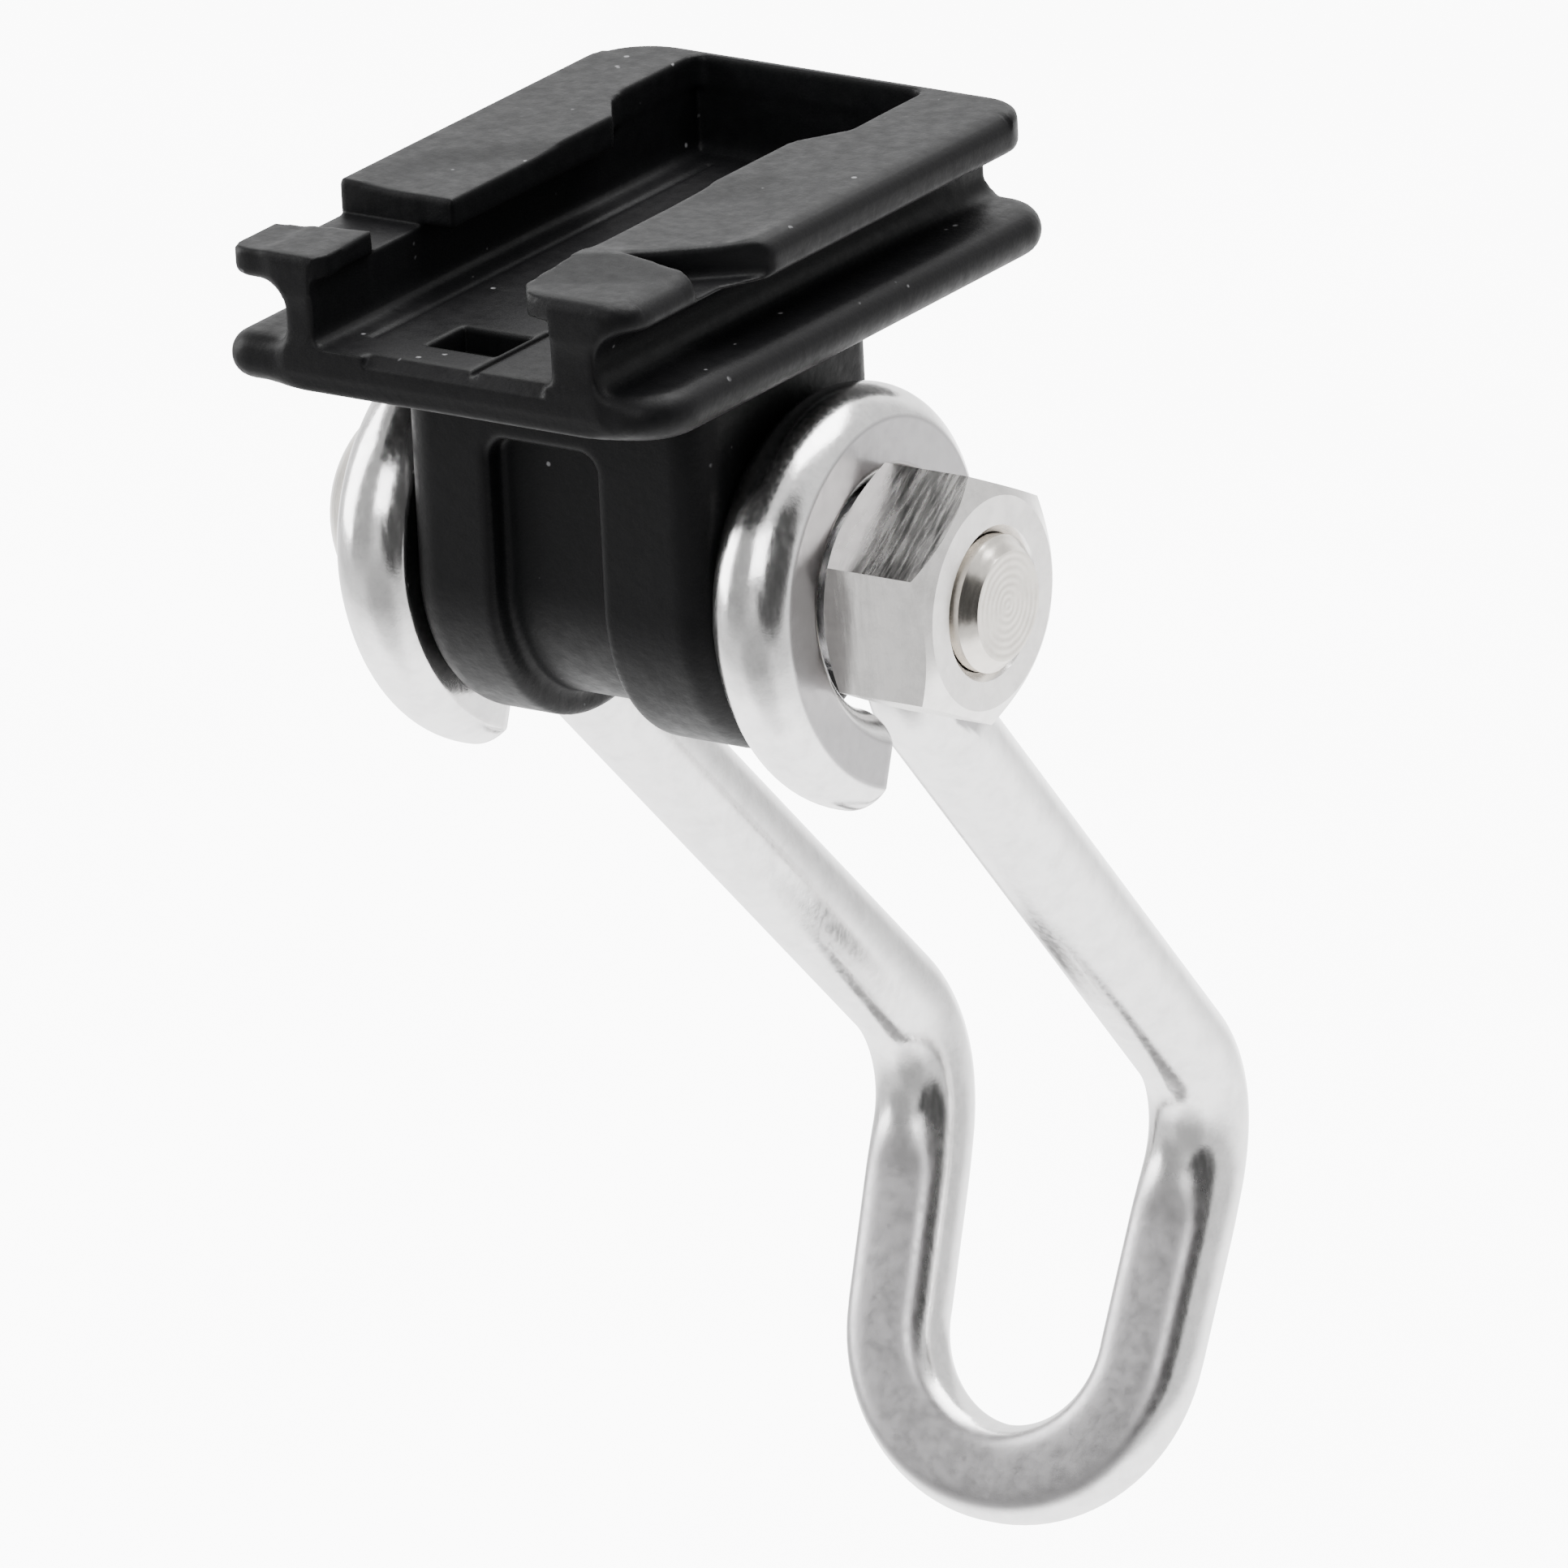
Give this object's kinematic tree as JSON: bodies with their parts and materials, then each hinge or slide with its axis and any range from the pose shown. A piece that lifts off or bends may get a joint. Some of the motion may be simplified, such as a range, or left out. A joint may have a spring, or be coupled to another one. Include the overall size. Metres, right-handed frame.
{
  "type": "adjustable wire loop bracket",
  "caption": "Black moulded head with a slide channel, turning on a cross bolt between the eyes of a bent steel wire loop whose lower end is pressed flat for clamping.",
  "frame": {"origin": "middle of the slide channel's floor, straight above the hinge axis", "axes": "+X along the cross bolt towards its nut, +Y along the slide channel towards its closed end, +Z out of the channel's floor; the loop leans from straight down towards +Y"},
  "size_m": [0.0335, 0.0464, 0.0699],
  "materials": {
    "moulded_nylon": "fine matte moulded surface",
    "sleeve_steel": "turned",
    "wire_steel": "smooth polished wire, pressed flats duller",
    "fastener_steel": "bright stainless"
  },
  "bodies": {
    "head": {"slide_head": "moulded_nylon", "pivot_sleeve": "sleeve_steel"},
    "loop": {"wire_loop": "wire_steel", "pivot_bolt": "fastener_steel", "hex_nut": "fastener_steel"}
  },
  "joints": [
    {"name": "loop_tilt", "type": "hinge", "parent": "head", "child": "loop", "pos_m": [0.0005, 0, -0.01245], "axis": [1, 0, 0], "range_deg": [-150, 70]}
  ]
}
